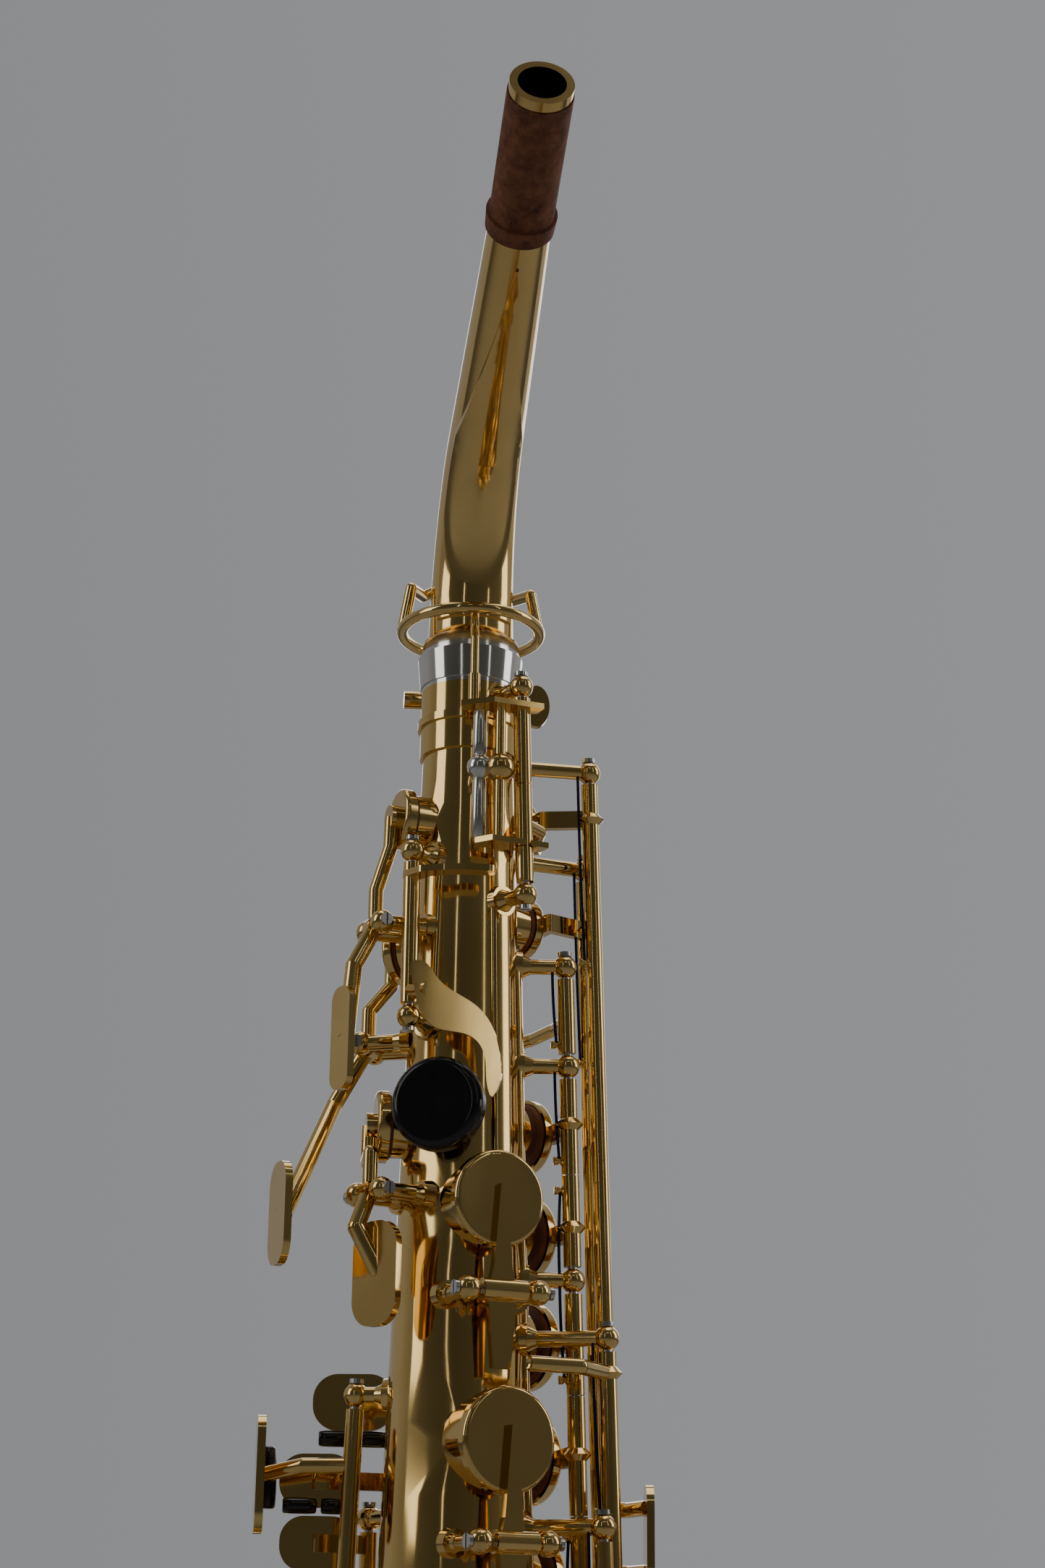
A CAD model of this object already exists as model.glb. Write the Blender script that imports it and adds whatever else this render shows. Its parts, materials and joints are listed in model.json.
"""Alto saxophone: materials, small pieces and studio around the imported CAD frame. Metres, row frame."""
import json
from math import cos, degrees, pi, radians, sin

import bmesh
import bpy
from mathutils import Matrix, Vector


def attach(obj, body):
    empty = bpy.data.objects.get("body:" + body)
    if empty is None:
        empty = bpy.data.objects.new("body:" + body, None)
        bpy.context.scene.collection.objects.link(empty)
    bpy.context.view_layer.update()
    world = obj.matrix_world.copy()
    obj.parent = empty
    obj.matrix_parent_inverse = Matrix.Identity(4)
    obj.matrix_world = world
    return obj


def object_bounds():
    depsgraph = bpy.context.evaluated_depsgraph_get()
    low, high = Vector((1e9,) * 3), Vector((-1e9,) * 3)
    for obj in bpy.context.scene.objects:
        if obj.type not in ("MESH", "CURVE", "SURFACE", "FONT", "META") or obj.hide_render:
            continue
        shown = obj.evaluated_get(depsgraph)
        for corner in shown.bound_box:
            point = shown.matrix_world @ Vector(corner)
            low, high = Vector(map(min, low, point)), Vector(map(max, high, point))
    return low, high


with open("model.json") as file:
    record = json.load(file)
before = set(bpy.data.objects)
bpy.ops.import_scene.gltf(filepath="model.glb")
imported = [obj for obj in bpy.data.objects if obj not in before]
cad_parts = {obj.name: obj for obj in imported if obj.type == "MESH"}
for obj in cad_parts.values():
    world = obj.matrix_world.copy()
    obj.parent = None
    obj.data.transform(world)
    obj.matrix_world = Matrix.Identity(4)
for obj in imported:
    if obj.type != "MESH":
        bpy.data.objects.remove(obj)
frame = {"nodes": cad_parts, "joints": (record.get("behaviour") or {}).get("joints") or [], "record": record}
cad_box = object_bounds()
nodes, joints = frame["nodes"], {joint["name"]: joint for joint in frame["joints"]}
MM = 0.001

# ---------------------------------------------------------------- camera at the photograph's place
AXIS_Y = 0.032  # the main tube's axis
CAMERA_AZIMUTH, CAMERA_PITCH, CAMERA_ROLL = radians(-7.0), radians(19.0), radians(0.66)
CAMERA_DISTANCE, CAMERA_ASIDE, CAMERA_Z = 0.704, 0.0154, 0.011
away = Vector((sin(CAMERA_AZIMUTH), -cos(CAMERA_AZIMUTH), 0))
right = Vector((cos(CAMERA_AZIMUTH), sin(CAMERA_AZIMUTH), 0))
forward = -away * cos(CAMERA_PITCH) + Vector((0, 0, sin(CAMERA_PITCH)))
lens = bpy.data.cameras.new("camera")
lens.lens = 60.4
lens.sensor_width = 36.0
lens.clip_start, lens.clip_end = 0.01, 50.0
camera = bpy.data.objects.new("camera", lens)
bpy.context.collection.objects.link(camera)
aim = Matrix.Rotation(-CAMERA_ROLL, 3, forward) @ forward.to_track_quat("-Z", "Y").to_matrix()
stand = Vector((0, AXIS_Y, CAMERA_Z)) + away * CAMERA_DISTANCE + right * CAMERA_ASIDE
camera.matrix_world = Matrix.Translation(stand) @ aim.to_4x4()
bpy.context.scene.camera = camera


# ---------------------------------------------------------------- materials
def new_material(name):
    """A node material, its tree and its shader."""
    made = bpy.data.materials.new(name)
    made.use_nodes = True
    return made, made.node_tree, made.node_tree.nodes["Principled BSDF"]


def noise(tree, scale, detail=4.0, stretch=(1, 1, 1), rough=0.55):
    """Noise in the object's own metres, stretched along an axis where that is asked."""
    place = tree.nodes.new("ShaderNodeTexCoord")
    mapped = tree.nodes.new("ShaderNodeMapping")
    mapped.inputs["Scale"].default_value = stretch
    made = tree.nodes.new("ShaderNodeTexNoise")
    made.inputs["Scale"].default_value = scale
    made.inputs["Detail"].default_value = detail
    made.inputs["Roughness"].default_value = rough
    tree.links.new(place.outputs["Object"], mapped.inputs["Vector"])
    tree.links.new(mapped.outputs["Vector"], made.inputs["Vector"])
    return made.outputs["Fac"]


def ramp(tree, source, stops):
    """Colours, or greys of one number, by where the source stands between 0 and 1."""
    made = tree.nodes.new("ShaderNodeValToRGB")
    while len(made.color_ramp.elements) < len(stops):
        made.color_ramp.elements.new(0.5)
    for element, (where, colour) in zip(made.color_ramp.elements, stops):
        element.position = where
        element.color = (*(colour if len(colour) == 3 else colour * 3), 1)
    tree.links.new(source, made.inputs["Fac"])
    return made.outputs["Color"]


def vary(tree, shader, socket, source, stops):
    """One socket of the shader, varied over the surface."""
    tree.links.new(ramp(tree, source, stops), shader.inputs[socket])


def bump(tree, shader, source, strength, distance):
    """Relief from the source, its full height in metres."""
    made = tree.nodes.new("ShaderNodeBump")
    made.inputs["Strength"].default_value = strength
    made.inputs["Distance"].default_value = distance
    tree.links.new(source, made.inputs["Height"])
    tree.links.new(made.outputs["Normal"], shader.inputs["Normal"])


def split_at(tree, height, below, above):
    """One colour below a height in the object's own metres, and another above it."""
    place, parts = tree.nodes.new("ShaderNodeTexCoord"), tree.nodes.new("ShaderNodeSeparateXYZ")
    is_above, choice = tree.nodes.new("ShaderNodeMath"), tree.nodes.new("ShaderNodeMix")
    tree.links.new(place.outputs["Object"], parts.inputs["Vector"])
    is_above.operation, choice.data_type = "GREATER_THAN", "RGBA"
    is_above.inputs[1].default_value = height
    tree.links.new(parts.outputs["Z"], is_above.inputs[0])
    tree.links.new(is_above.outputs["Value"], choice.inputs["Factor"])
    tree.links.new(below, choice.inputs["A"])
    tree.links.new(above, choice.inputs["B"])
    return choice.outputs["Result"]


def metal(name, light, dark, rough, coat=0.0, plating=None):
    """Polished metal: slow drifts of colour, cloudy polish marks and a faint drawn grain. A plating is the
    height that it starts from, its light colour and its dark one."""
    made, tree, shader = new_material(name)
    shader.inputs["Metallic"].default_value = 1.0
    shader.inputs["Coat Weight"].default_value = coat
    shader.inputs["Coat Roughness"].default_value = 0.06
    drift = noise(tree, 26, 5)
    colour = ramp(tree, drift, ((0.3, dark), (0.7, light)))
    if plating is not None:
        height, plated_light, plated_dark = plating
        plated = ramp(tree, drift, ((0.3, plated_dark), (0.7, plated_light)))
        colour = split_at(tree, height, colour, plated)
    tree.links.new(colour, shader.inputs["Base Color"])
    low, high = rough
    vary(tree, shader, "Roughness", noise(tree, 70, 3, (1, 1, 0.35), 0.5), ((0.25, (low,)), (0.8, (high,))))
    bump(tree, shader, noise(tree, 90, 2, (1, 1, 0.4)), 0.06, 0.00002)
    return made


def cork_material():
    made, tree, shader = new_material("cork")
    vary(tree, shader, "Base Color", noise(tree, 240, 8, rough=0.7),
         ((0.28, (0.03, 0.008, 0.003)), (0.42, (0.165, 0.050, 0.019)), (0.7, (0.33, 0.115, 0.048))))
    shader.inputs["Roughness"].default_value = 0.78
    pits = ramp(tree, noise(tree, 520, 6, rough=0.75), ((0.36, (0.0,)), (0.52, (1.0,))))
    bump(tree, shader, pits, 0.5, 0.0004)
    return made


def leather_material():
    made, tree, shader = new_material("pad_leather")
    vary(tree, shader, "Base Color", noise(tree, 130, 5),
         ((0.3, (0.20, 0.065, 0.035)), (0.7, (0.36, 0.13, 0.075))))
    vary(tree, shader, "Roughness", noise(tree, 300, 4), ((0.3, (0.42,)), (0.7, (0.6,))))
    shader.inputs["Sheen Weight"].default_value = 0.2
    bump(tree, shader, noise(tree, 1500, 4), 0.4, 0.00012)
    return made


def resin_material(name, low, high, rough):
    made, tree, shader = new_material(name)
    vary(tree, shader, "Base Color", noise(tree, 60, 4), ((0.3, low), (0.7, high)))
    vary(tree, shader, "Roughness", noise(tree, 420, 6, (1, 1, 0.4)),
         ((0.3, (rough,)), (0.75, (rough + 0.14,))))
    bump(tree, shader, noise(tree, 700, 3), 0.12, 0.00003)
    return made


def pearl_material():
    made, tree, shader = new_material("pearl")
    vary(tree, shader, "Base Color", noise(tree, 120, 3, (1, 1, 2.2)),
         ((0.3, (0.66, 0.60, 0.54)), (0.5, (0.58, 0.64, 0.60)), (0.7, (0.70, 0.63, 0.67))))
    shader.inputs["Roughness"].default_value = 0.22
    shader.inputs["Coat Weight"].default_value = 0.8
    shader.inputs["Coat Roughness"].default_value = 0.04
    bump(tree, shader, noise(tree, 300, 3), 0.1, 0.00004)
    return made


def felt_material():
    made, tree, shader = new_material("felt")
    vary(tree, shader, "Base Color", noise(tree, 900, 6),
         ((0.3, (0.03, 0.035, 0.03)), (0.7, (0.09, 0.10, 0.085))))
    shader.inputs["Roughness"].default_value = 0.95
    shader.inputs["Sheen Weight"].default_value = 0.5
    bump(tree, shader, noise(tree, 2600, 5), 0.8, 0.0003)
    return made


BRASS_LIGHT, BRASS_DARK, BRASS_ROUGH = (0.82, 0.58, 0.225), (0.72, 0.48, 0.165), (0.055, 0.15)
NICKEL_LIGHT, NICKEL_DARK = (0.80, 0.78, 0.74), (0.66, 0.64, 0.59)
PLATED_FROM = 0.2797  # the neck receiver is nickel above this height
brass = metal("brass", BRASS_LIGHT, BRASS_DARK, BRASS_ROUGH, coat=0.15)
nickel = metal("nickel", NICKEL_LIGHT, NICKEL_DARK, (0.10, 0.22))
receiver = metal("receiver", BRASS_LIGHT, BRASS_DARK, BRASS_ROUGH,
                 plating=(PLATED_FROM, NICKEL_LIGHT, NICKEL_DARK))
steel = metal("steel", (0.72, 0.71, 0.69), (0.55, 0.54, 0.52), (0.12, 0.28))
blued = metal("blued_steel", (0.035, 0.06, 0.16), (0.02, 0.03, 0.09), (0.16, 0.3))
cork, leather, pearl, felt = cork_material(), leather_material(), pearl_material(), felt_material()
black = resin_material("black", (0.004, 0.004, 0.005), (0.012, 0.012, 0.013), 0.07)
by_slot = {"brass": brass, "nickel": nickel, "steel": steel, "cork": cork, "pad_leather": leather,
           "black": black}
for part in frame["record"]["subparts"]:
    finish = receiver if part["node"] == "neck_socket" else by_slot[part["material_slot"]]
    surfaces = nodes[part["node"]].data.materials
    surfaces.clear()
    surfaces.append(finish)


# ---------------------------------------------------------------- making pieces
def piece(name, mesh, body, material, smooth=True):
    """A mesh as a piece that rides on a body."""
    for face in mesh.polygons:
        face.use_smooth = smooth
    made = bpy.data.objects.new(name, mesh)
    bpy.context.collection.objects.link(made)
    mesh.materials.append(material)
    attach(made, body)


def finished(made, name, where=Matrix()):
    """The bmesh as a mesh with its normals outward, moved by a matrix."""
    bmesh.ops.recalc_face_normals(made, faces=made.faces)
    made.transform(where)
    mesh = bpy.data.meshes.new(name)
    made.to_mesh(mesh)
    made.free()
    return mesh


def ring(made, radius, height, steps):
    """A circle of vertices about the Z axis, from millimetres."""
    return [made.verts.new((radius * cos(2 * pi * k / steps) * MM, radius * sin(2 * pi * k / steps) * MM,
                            height * MM)) for k in range(steps)]


def turned(name, profile, where, steps=40):
    """A mesh turned from a profile of (radius, height) points, in millimetres, then moved by a matrix."""
    made = bmesh.new()
    rings = [ring(made, radius, height, steps) if radius else [made.verts.new((0, 0, height * MM))]
             for radius, height in profile]
    for low, high in zip(rings, rings[1:]):
        for k in range(steps):
            corners = [low[k % len(low)], low[(k + 1) % len(low)],
                       high[(k + 1) % len(high)], high[k % len(high)]]
            corners = list(dict.fromkeys(corners))
            if len(corners) > 2:
                made.faces.new(corners)
    return finished(made, name, where)


def wire(name, points, radius, body, material):
    """A smooth wire through the points."""
    line = bpy.data.curves.new(name, "CURVE")
    line.dimensions = "3D"
    line.bevel_depth = radius * MM
    line.bevel_resolution = 4
    line.use_fill_caps = True
    run = line.splines.new("NURBS")
    run.points.add(len(points) - 1)
    for control, point in zip(run.points, points):
        control.co = (*point, 1)
    run.order_u = 3
    run.use_endpoint_u = True
    made = bpy.data.objects.new(name, line)
    bpy.context.collection.objects.link(made)
    line.materials.append(material)
    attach(made, body)


# ---------------------------------------------------------------- places on the sound tubes
TOP_RADIUS, TAPER, TUBE_TOP = 12.3, 0.0299, 281.0  # millimetres: radius at the top, growth downwards
BELL_AXIS, BELL_FOOT, BELL_TAPER, TUBE_END = (-17.4, 130.5), 35.0, 0.0345, -205.0
FLARE_START, FLARE_GROWTH, BELL_RIM = -60.0, 21.5, 22.0


def at(x, y, z):
    """A point from millimetres."""
    return Vector((x, y, z)) * MM


def outward(angle):
    """The level direction at an angle round a tube, from the side that faces the camera."""
    return Vector((sin(radians(angle)), -cos(radians(angle)), 0))


def facing(origin, normal):
    """A matrix that stands a turned mesh on a point, along a normal."""
    return Matrix.Translation(origin) @ normal.to_track_quat("Z", "Y").to_matrix().to_4x4()


def wall(z):
    """The main tube's outer radius at a height, in millimetres."""
    return TOP_RADIUS + (TUBE_TOP - z) * TAPER


def spot(angle, lift, z):
    """A point so far off the main tube's wall, from millimetres."""
    place = outward(angle) * (wall(z) + lift)
    return at(place.x, place.y + AXIS_Y / MM, z)


def bell_spot(angle, lift, z):
    """A point so far off the bell's wall, from millimetres."""
    share = max(0.0, z - FLARE_START) / (BELL_RIM - FLARE_START)
    reach = BELL_FOOT + BELL_TAPER * (min(z, FLARE_START) - TUBE_END) + FLARE_GROWTH * share ** 3 + lift
    place = outward(angle) * reach
    return at(place.x + BELL_AXIS[0], place.y + BELL_AXIS[1], z)


def raised(key):
    """The turn of an open key from its pressed place to rest, as a matrix."""
    hinge = joints[key + "_joint"]
    turn = Matrix.Rotation(-radians(hinge["range_deg"][1]), 4, Vector(hinge["axis"]))
    anchor = Matrix.Translation(Vector(hinge["pos_m"]))
    return anchor @ turn @ anchor.inverted()


# ---------------------------------------------------------------- pearls of the stack keys
STACK_ANGLE, CHIMNEY, BELL_CHIMNEY = 135, 3.2, 3.6
UPPER_PEARLS, LOWER_PEARLS, SEAT_DEPTH = (165, 11.55), (108, 14.0), 1.2  # angle and seat's lift off the wall
PEARL_PROFILE = ((0, 0), (6.3, 0), (6.45, 0.4), (6.45, 1.5), (6.2, 1.95), (5.6, 2.15), (4.2, 2.02),
                 (2, 1.82), (0, 1.75))
stack_holes = {  # key: its tone hole's height and radius
    "c_key": (156, 8), "b_key": (128, 8.8), "a_key": (99, 9.6), "bis_key": (69, 9.6), "g_key": (38, 10.6),
    "f_sharp_key": (-34, 12.3), "f_key": (-72, 13.2), "e_key": (-111, 14), "d_key": (-151, 14.7)}
for key, (z, _) in stack_holes.items():
    angle, seat = UPPER_PEARLS if z > 0 else LOWER_PEARLS
    place = raised(key) @ facing(spot(angle, seat + SEAT_DEPTH, z), outward(angle))
    piece(key + "_pearl", turned("pearl", PEARL_PROFILE, place), key + "_part", pearl)

# ---------------------------------------------------------------- pads and their resonators
PAD_GAP, RESONATOR_GAP, PAD_THICK, PAD_SPARE = 0.15, 0.17, 3.2, 1.35
# each row: key, whether it stands open, then its tone hole's angle, height, radius and chimney
body_pads = [(key, True, STACK_ANGLE, z, radius, CHIMNEY) for key, (z, radius) in stack_holes.items()]
body_pads += [("g_sharp_key", False, 150, 3, 11, CHIMNEY), ("low_e_flat_key", False, 128, -184, 13, CHIMNEY),
              ("high_e_key", False, 122, 214, 6.6, CHIMNEY),
              ("high_f_sharp_key", False, 128, 245, 5.6, CHIMNEY)]
bell_pads = [("low_b_key", True, 50, -76, 19, BELL_CHIMNEY), ("low_bb_key", True, 50, -23, 19.6, 5.8),
             ("low_c_sharp_key", False, -50, -122, 17.5, BELL_CHIMNEY)]


def pad_profile(radius):
    """Leather over felt: a soft edge, and a shallow ring where the tone hole has pressed it."""
    edge = radius + PAD_SPARE
    return ((0, 0), (radius - 1.1, 0), (radius - 0.5, 0.28), (radius + 0.1, 0.05), (edge - 0.9, 0.1),
            (edge - 0.25, 0.5), (edge, 1.3), (edge, PAD_THICK), (0, PAD_THICK))


def resonator_profile(radius):
    """A domed metal disc with a small boss at its middle, sunk a little in the pad."""
    edge = radius * 0.62
    return ((0, 0.7), (1.0, 0.65), (1.3, 0.35), (radius * 0.5, 0.25), (edge, 0.1), (edge, -0.3), (0, -0.3))


for place_on, pads in ((spot, body_pads), (bell_spot, bell_pads)):
    for key, is_open, angle, z, radius, chimney in pads:
        turn = raised(key) if is_open else Matrix()
        place = turn @ facing(place_on(angle, chimney + PAD_GAP, z), outward(angle))
        piece(key + "_leather", turned("pad", pad_profile(radius), place, steps=56), key + "_part",
              leather)
        place = turn @ facing(place_on(angle, chimney + RESONATOR_GAP, z), -outward(angle))
        piece(key + "_resonator", turned("resonator", resonator_profile(radius), place, steps=36),
              key + "_part", brass)

# ---------------------------------------------------------------- felt stops under the guards
FELT_PROFILE = ((0, -3.0), (3.1, -3.0), (3.5, -2.7), (3.5, -1.6), (0, -1.6))
for name, place_on, angle, z, lift in (
        ("low_b_felt", bell_spot, 50, -76, 22), ("low_bb_felt", bell_spot, 50, -23, 24),
        ("low_c_sharp_felt", bell_spot, -50, -122, 21), ("low_e_flat_felt", spot, 128, -184, 20)):
    place = facing(place_on(angle, lift, z), outward(angle))
    piece(name, turned(name, FELT_PROFILE, place, steps=28), "body", felt)

# ---------------------------------------------------------------- plated rod of the octave mechanism
OCTAVE_ROD = ((0, 0), (1.7, 0), (1.95, 0.3), (1.95, 16.6), (1.7, 17.0), (1.6, 17.4), (2.6, 18.2),
              (3.3, 19.4), (3.5, 20.7), (3.3, 22.0), (2.6, 23.2), (1.6, 24.0), (1.7, 24.4), (1.95, 24.8),
              (1.95, 37.0), (1.7, 37.4), (0, 37.4))
OCTAVE_ROD_ANGLE, OCTAVE_ROD_REACH, OCTAVE_ROD_FOOT = 3, 20.0, 230.7
foot = outward(OCTAVE_ROD_ANGLE) * OCTAVE_ROD_REACH
place = Matrix.Translation(at(foot.x, foot.y + AXIS_Y / MM, OCTAVE_ROD_FOOT))
piece("octave_plated_rod", turned("octave_plated_rod", OCTAVE_ROD, place), "octave_rocker_part",
      nickel)

# ---------------------------------------------------------------- needle springs and their cradles
STACK_LINE, HIGH_E_LINE, HIGH_F_SHARP_LINE = (84, 13), (105, 22), (94, 22)  # hinge line's angle and lift
SIDE_C_LINE, SIDE_BB_LINE = (72, 22), (60, 22)
SPRING_DROP, SPRING_RADIUS = 3.5, 0.42  # from the hinge line towards the tube
springs = [  # key, hinge line, post's height, height of the spring's free end
    ("c_key", STACK_LINE, 172, 146), ("b_key", STACK_LINE, 114, 138), ("a_key", STACK_LINE, 114, 88),
    ("g_key", STACK_LINE, 24, 48), ("f_sharp_key", STACK_LINE, -16, -48), ("f_key", STACK_LINE, -92, -60),
    ("e_key", STACK_LINE, -92, -124), ("d_key", STACK_LINE, -171, -137), ("g_sharp_key", STACK_LINE, 24, -8),
    ("high_e_key", HIGH_E_LINE, 232, 176), ("high_f_sharp_key", HIGH_F_SHARP_LINE, 259, 203),
    ("side_c_lever", SIDE_C_LINE, 98, 54), ("side_bb_lever", SIDE_BB_LINE, 50, 6),
    ("front_f_lever", STACK_LINE, 200, 178)]
for key, (angle, lift), start, end in springs:
    low = lift - SPRING_DROP
    points = [spot(angle - 2, low, start), spot(angle - 2.5, low - 0.2, (start + end) / 2),
              spot(angle - 1, low + 0.7, end)]
    wire(key + "_spring", points, SPRING_RADIUS, "body", blued)
    cradle_foot, cradle_top = spot(angle, lift, end), spot(angle - 1, low - 0.9, end)
    reach = (cradle_top - cradle_foot).length / MM
    profile = ((0, 0), (1.5, 0), (1.5, 2.3), (0.85, 2.6), (0.7, reach - 1.5), (1.15, reach - 1.1),
               (1.15, reach), (0, reach))
    place = facing(cradle_foot, (cradle_top - cradle_foot).normalized())
    piece(key + "_cradle", turned("cradle", profile, place, steps=20), key + "_part", brass)

# ---------------------------------------------------------------- slotted screw heads on the hinge rods
HEAD_HEIGHT, SLOT_DEPTH, SLOT_SHARE, HEAD_STEPS = 1.1, 0.6, 0.16, 16  # the slot's half width, by the radius
HEAD_RADIUS, FOOT_RADIUS = 1.9, 1.7  # at the line's first and second end
HEAD_SEAT, FOOT_SEAT = 3.1, 3.0  # past the end of the line


def slotted_head(name, end, way, radius):
    """A screw's head with a straight slot across it, seated on a point, along a direction."""
    made = bmesh.new()
    half_slot, slot_floor = SLOT_SHARE * radius, HEAD_HEIGHT - SLOT_DEPTH
    for side in (1, -1):
        edge = [(side * radius * sin(pi * k / HEAD_STEPS), radius * cos(pi * k / HEAD_STEPS))
                for k in range(HEAD_STEPS + 1)]
        edge = [(x if abs(x) > half_slot else side * half_slot, y) for x, y in edge]
        low, high = ([made.verts.new(at(x, y, z)) for x, y in edge] for z in (slot_floor, HEAD_HEIGHT))
        for k in range(HEAD_STEPS):
            made.faces.new((low[k], low[k + 1], high[k + 1], high[k]))
        made.faces.new((low[0], low[-1], high[-1], high[0]))
        made.faces.new(high)
        made.faces.new(low[::-1])
    low, high = (ring(made, radius, z, 2 * HEAD_STEPS) for z in (0, slot_floor))
    for k in range(2 * HEAD_STEPS):
        made.faces.new((low[k], low[(k + 1) % len(low)], high[(k + 1) % len(high)], high[k]))
    made.faces.new(low)
    made.faces.new(high[::-1])
    piece(name, finished(made, name, facing(end, way)), "body", steel, smooth=False)


lines = {  # each hinge line's two ends
    "stack": (spot(*STACK_LINE, 200), spot(*STACK_LINE, -200)),
    "high_e": (spot(*HIGH_E_LINE, 232), spot(*HIGH_E_LINE, 20.6)),
    "high_f_sharp": (spot(*HIGH_F_SHARP_LINE, 259), spot(*HIGH_F_SHARP_LINE, 22)),
    "side_c": (spot(*SIDE_C_LINE, 98), spot(*SIDE_C_LINE, -2)),
    "side_bb": (spot(*SIDE_BB_LINE, 50), spot(*SIDE_BB_LINE, -34)),
    "low_c": (spot(62, 12, -170), spot(62, 12, -208)),
    "thumb": (spot(-48.5, 8, 228), spot(-45, 8, 181)),
    "octave": (spot(33, 10.5, 276), spot(37, 9.5, 215.6)),
    "low_b": (at(-13.4, 60.5, 70), at(-13.4, 60.5, -88)),
    "low_bb": (at(-6.3, 65.0, 92), at(-6.3, 65.0, -34)),
    "low_c_sharp": (at(-20.0, 62.0, 54), at(-20.0, 62.0, -134)),
    "g_sharp_lever": (spot(252, 9, 84), spot(252, 9, 12))}
for name, angle, lift, z, half in (  # the lines that lie across the tube, half of each one's length last
        ("palm_f", -75, 12, 208, 6), ("palm_e_flat", -112, 12, 178, 6), ("palm_d", -62, 12, 134, 6),
        ("side_c_cup", 18, 11, 107.5, 9.8), ("side_bb_cup", 24, 11, 45.5, 9.8)):
    across = at(cos(radians(angle)), sin(radians(angle)), 0) * half
    lines[name] = (spot(angle, lift, z) - across, spot(angle, lift, z) + across)
for name, (start, end) in lines.items():
    way = (start - end).normalized()
    slotted_head(name + "_screw", start + way * HEAD_SEAT * MM, way, HEAD_RADIUS)
    slotted_head(name + "_screw_foot", end - way * FOOT_SEAT * MM, -way, FOOT_RADIUS)

# ---------------------------------------------------------------- strips soldered to the tube under the posts
STRIP_THICK, STRIP_SINK, STRIP_ROWS, STRIP_COLUMNS = 1.1, 0.4, 60, 10
END_WIDTH, EDGE_SHARE, END_SHARE = 0.12, 0.35, 0.4  # least share of the width, and of the thickness


def strip(name, angle, width, top, bottom):
    """A curved strip on the main tube with rounded ends and a rolled edge."""
    made = bmesh.new()
    grid = []
    for row in range(STRIP_ROWS + 1):
        z = top + (bottom - top) * (row / STRIP_ROWS)
        to_end, end_round = min(z - bottom, top - z), width / 2
        narrowed = 1.0 if to_end >= end_round else (1 - (1 - to_end / end_round) ** 2) ** 0.5
        line = []
        for column in range(STRIP_COLUMNS + 1):
            share = column / STRIP_COLUMNS * 2 - 1
            aside = share * max(narrowed, END_WIDTH) * width / 2
            rolled = EDGE_SHARE + (1 - EDGE_SHARE) * (1 - abs(share) ** 6)
            lift = STRIP_THICK * rolled * (1 if 0 < row < STRIP_ROWS else END_SHARE)
            line.append(made.verts.new(spot(angle + degrees(aside / (wall(z) + 0.5)), lift, z)))
        grid.append(line)
    for low, high in zip(grid, grid[1:]):
        for k in range(STRIP_COLUMNS):
            made.faces.new((low[k], low[k + 1], high[k + 1], high[k]))
    under = bmesh.ops.extrude_face_region(made, geom=list(made.faces))
    for vert in [item for item in under["geom"] if isinstance(item, bmesh.types.BMVert)]:
        off_axis = Vector((vert.co.x, vert.co.y - AXIS_Y, 0))
        sunk = (wall(vert.co.z / MM) - STRIP_SINK) * MM
        vert.co -= off_axis.normalized() * (off_axis.length - sunk)
    piece(name, finished(made, name), "body", brass)


strip("stack_strip", 84, 8.6, 206, -206)
strip("octave_strip", 36, 7.0, 219, 112)
strip("thumb_strip", -46.8, 7.5, 233, 176)
strip("bell_keys_strip", 206, 8.0, 96, -140)
strip("high_strip", 99, 8.6, 265, 226)

# ---------------------------------------------------------------- black rollers of the left-hand table
ROLLER = ((0, 0), (1.7, 0), (2.05, 0.4), (2.15, 2.5), (2.15, 6.5), (2.05, 8.6), (1.7, 9.0), (0, 9.0))
TALL_ROLLER = ((0, 0), (1.9, 0), (2.3, 0.5), (2.5, 4), (2.4, 10), (2.0, 15.5), (1.6, 16), (0, 16))
ALONG_X, ALONG_Z = Vector((1, 0, 0)), Vector((0, 0, 1))
for name, profile, foot, way, key in (
        ("bb_roller_a", ROLLER, at(-34.4, 58.3, 74.3), ALONG_X, "low_bb_key"),
        ("bb_roller_b", ROLLER, at(-24.2, 58.3, 74.3), ALONG_X, "low_bb_key"),
        ("b_roller_a", ROLLER, at(-43.4, 58.3, 56.8), ALONG_X, "low_b_key"),
        ("b_roller_b", ROLLER, at(-33.2, 58.3, 56.8), ALONG_X, "low_b_key"),
        ("g_sharp_roller", TALL_ROLLER, at(-47.6, 60.6, 56), ALONG_Z, "g_sharp_lever")):
    piece(name, turned(name, profile, facing(foot, way), steps=28), key + "_part", black)

# ---------------------------------------------------------------- the room: floor, grey cloth, soft lamps
FLOOR_SIZE, FLOOR_GAP = 40, 0.002
floor_paint, paint_tree, paint_shader = new_material("floor_paint")
vary(paint_tree, paint_shader, "Base Color", noise(paint_tree, 3, 5),
     ((0.3, (0.34, 0.34, 0.34)), (0.7, (0.37, 0.37, 0.37))))
paint_shader.inputs["Roughness"].default_value = 0.9
bpy.ops.mesh.primitive_plane_add(size=1, location=(0, 0, cad_box[0][2] - FLOOR_GAP))
floor = bpy.context.object
floor.name, floor.scale = "floor", (FLOOR_SIZE, FLOOR_SIZE, 1)
floor.data.materials.append(floor_paint)

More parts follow.
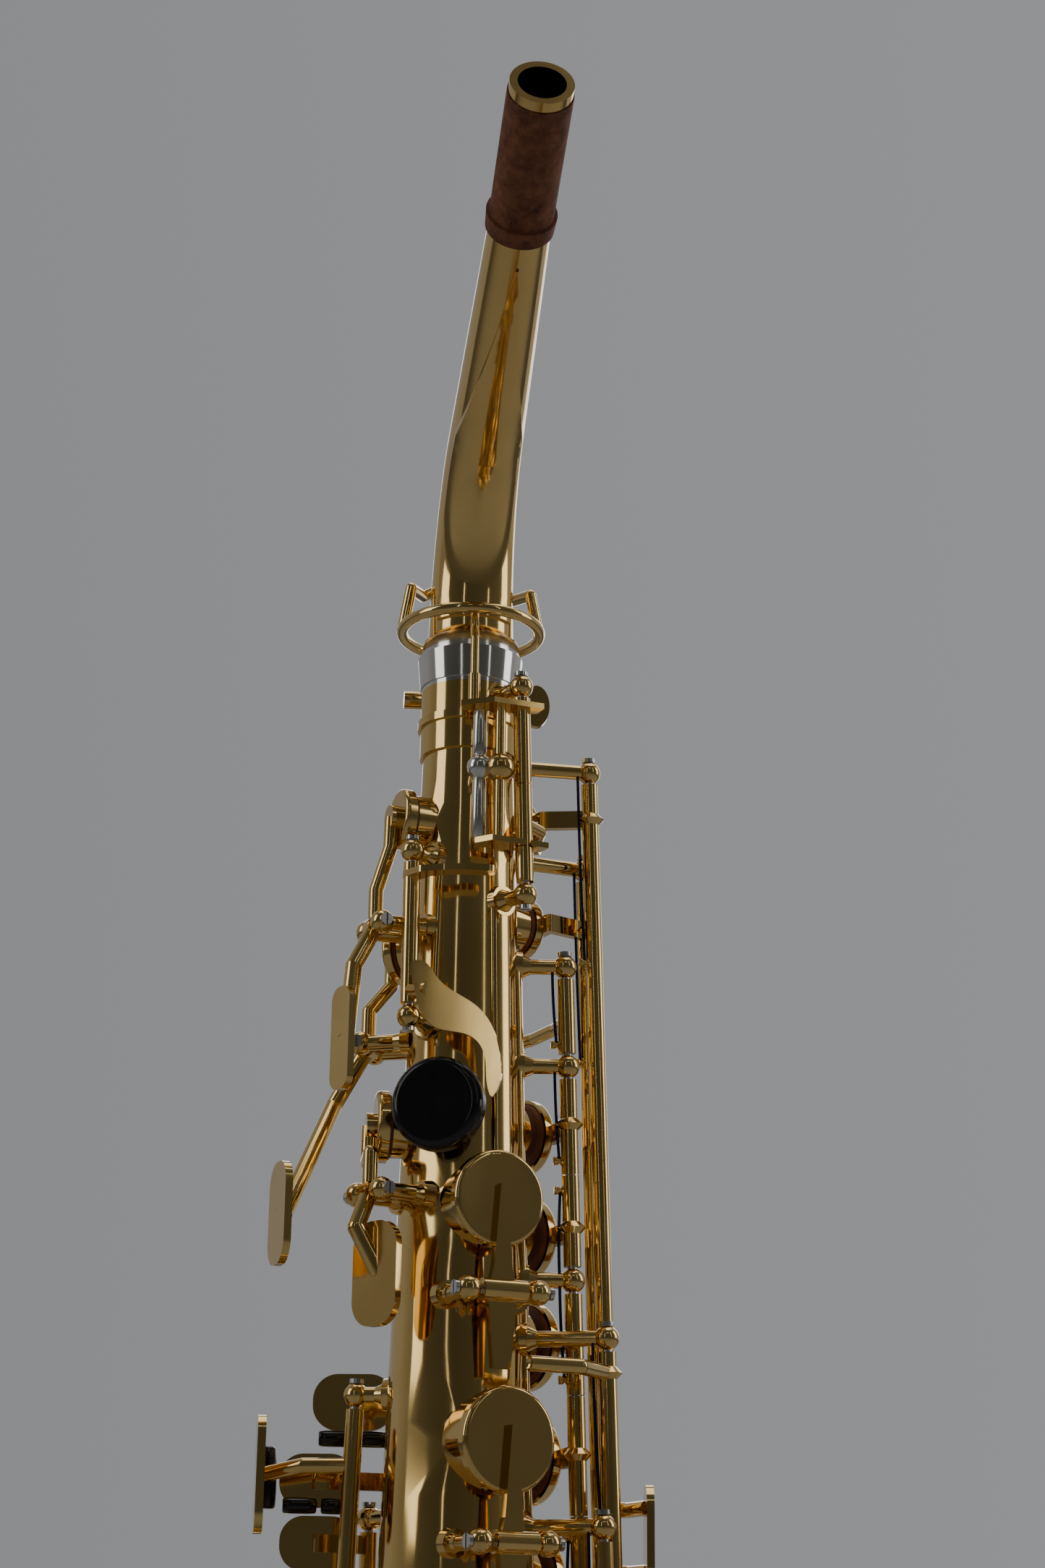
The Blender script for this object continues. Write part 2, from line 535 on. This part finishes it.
world = bpy.data.worlds.new("room")
bpy.context.scene.world = world
world.use_nodes = True
room = world.node_tree
toward = room.nodes.new("ShaderNodeTexCoord")
axes = room.nodes.new("ShaderNodeSeparateXYZ")
room.links.new(toward.outputs["Generated"], axes.inputs["Vector"])
depth = room.nodes.new("ShaderNodeMapRange")
depth.inputs["From Min"].default_value, depth.inputs["From Max"].default_value = -1.0, 1.0
room.links.new(axes.outputs["Y"], depth.inputs["Value"])
tone = ramp(room, depth.outputs["Result"], (  # a dark room in front of the object, a grey cloth behind it
    (0.0, (0.050, 0.050, 0.045)), (0.30, (0.08, 0.08, 0.073)), (0.52, (0.19, 0.19, 0.185)),
    (0.75, (0.285, 0.287, 0.295)), (1.0, (0.27, 0.272, 0.28))))
sideways = room.nodes.new("ShaderNodeMapRange")  # the cloth is lighter towards the right
sideways.inputs["From Min"].default_value, sideways.inputs["From Max"].default_value = -0.4, 0.4
sideways.inputs["To Min"].default_value, sideways.inputs["To Max"].default_value = 0.90, 1.16
room.links.new(axes.outputs["X"], sideways.inputs["Value"])
room.links.new(tone, room.nodes["Background"].inputs["Color"])
room.links.new(sideways.outputs["Result"], room.nodes["Background"].inputs["Strength"])

for name, place, aim_z, size, watts in (
        ("left_box", (-2.0, -0.4, 1.2), 0.1, (0.9, 1.8), 9),
        ("right_box", (2.1, -0.1, 1.1), 0.1, (0.8, 1.8), 9),
        ("left_strip", (-0.9, -1.9, 1.0), 0.1, (0.07, 1.5), 0.55),
        ("right_strip", (1.15, -1.5, 1.15), 0.1, (0.08, 1.5), 0.6),
        ("ceiling_strip", (0.05, -2.0, 2.1), 0.1, (0.9, 0.08), 0.5),
        ("top_box", (0.2, 0.3, 2.0), 0.0, (1.4, 1.4), 8),
        ("back_box", (0.5, 1.8, 1.0), 0.1, (1.6, 1.2), 8)):
    light = bpy.data.lights.new(name, "AREA")
    light.shape, light.size, light.size_y = "RECTANGLE", size[0], size[1]
    light.energy = watts
    lamp = bpy.data.objects.new(name, light)
    bpy.context.collection.objects.link(lamp)
    lamp.location = place
    lamp.rotation_euler = (Vector((0, 0.03, aim_z)) - Vector(place)).to_track_quat("-Z", "Y").to_euler()
